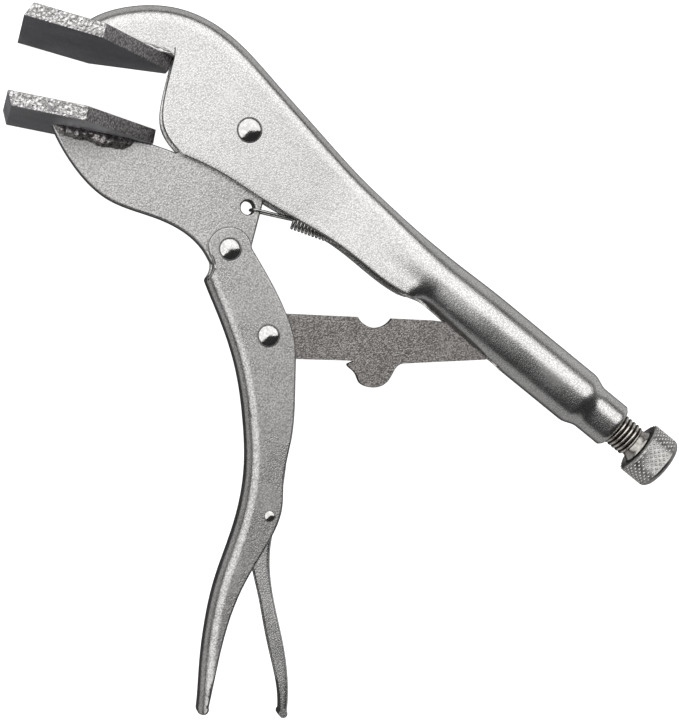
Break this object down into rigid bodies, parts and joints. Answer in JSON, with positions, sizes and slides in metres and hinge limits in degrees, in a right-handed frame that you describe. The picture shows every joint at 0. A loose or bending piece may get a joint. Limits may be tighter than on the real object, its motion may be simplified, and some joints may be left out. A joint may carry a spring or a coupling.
{
  "type": "locking pliers with flat jaw plates",
  "caption": "Locking pliers with wide flat welded jaw plates, folded sheet handles, a toggle link, a release lever, a return spring and a knurled adjusting screw, jaws open.",
  "frame": {"origin": "centre of the fixed jaw plate's clamping face", "axes": "+X back along the clamping face towards the handles, +Y from the moving jaw to the fixed jaw, +Z across the jaws along the rivets, which is up as the tool lies on its side"},
  "size_m": [0.2422, 0.2148, 0.08],
  "materials": {
    "satin_plate": "satin nickel plate over blasted steel sheet",
    "pad_steel": "plated flat bar with rough sheared edges",
    "weld_bead": "plated weld bead, lumpy",
    "jaw_steel": "satin nickel plate over a blasted forging",
    "link_steel": "dull plated steel bar, coarse grain",
    "lever_plate": "satin nickel plate over thin sheet",
    "screw_steel": "plated rolled thread",
    "knob_steel": "bright plated, diamond knurled",
    "rivet_polish": "polished domed heads",
    "spring_wire": "oiled dark spring wire"
  },
  "bodies": {
    "fixed_handle": {"upper_handle": "satin_plate", "upper_jaw_pad": "pad_steel", "upper_jaw_weld_left": "weld_bead", "upper_jaw_weld_right": "weld_bead", "jaw_pivot_rivet": "rivet_polish", "return_spring": "spring_wire"},
    "moving_jaw": {"lower_jaw": "jaw_steel", "lower_jaw_pad": "pad_steel", "lower_jaw_weld_left": "weld_bead", "lower_jaw_weld_right": "weld_bead"},
    "moving_handle": {"lower_handle": "satin_plate", "handle_pivot_rivet": "rivet_polish", "link_rivet": "rivet_polish", "release_lever_rivet": "rivet_polish"},
    "toggle_link": {"toggle_link": "link_steel"},
    "release_lever": {"release_lever": "lever_plate"},
    "adjusting_screw": {"adjusting_screw": "screw_steel"},
    "screw_knob": {"screw_knob": "knob_steel"}
  },
  "joints": [
    {"name": "jaw_swing", "type": "hinge", "parent": "fixed_handle", "child": "moving_jaw", "pos_m": [0.0535, -0.0109, 0], "axis": [0, 0, -1], "range_deg": [0, 16.6], "stiffness_Nm_per_rad": 1, "springref_deg": -17.19, "deforming": ["return_spring"]},
    {"name": "handle_swing", "type": "hinge", "parent": "moving_jaw", "child": "moving_handle", "pos_m": [0.0575, -0.0489, 0], "axis": [0, 0, 1], "range_deg": [0, 45]},
    {"name": "link_swing", "type": "hinge", "parent": "moving_handle", "child": "toggle_link", "pos_m": [0.0767, -0.0721, 0], "axis": [0, 0, 1], "range_deg": [-36.6, 0]},
    {"name": "lever_press", "type": "hinge", "parent": "moving_handle", "child": "release_lever", "pos_m": [0.0924, -0.1275, 0], "axis": [0, 0, -1], "range_deg": [0, 15]},
    {"name": "screw_travel", "type": "slide", "parent": "fixed_handle", "child": "adjusting_screw", "axis": [0.9191, -0.3939, 0], "range_m": [0, 0.014]},
    {"name": "knob_turn", "type": "hinge", "parent": "adjusting_screw", "child": "screw_knob", "pos_m": [0.1223, -0.0391, 0], "axis": [0.9191, -0.3939, 0], "range_deg": [0, 3361]}
  ],
  "couplings": [
    {"joint": "handle_swing", "follows": "jaw_swing", "ratio": 2.7},
    {"joint": "link_swing", "follows": "jaw_swing", "ratio": -2.2},
    {"joint": "knob_turn", "follows": "screw_travel", "rad_per_m": 4188.8}
  ]
}
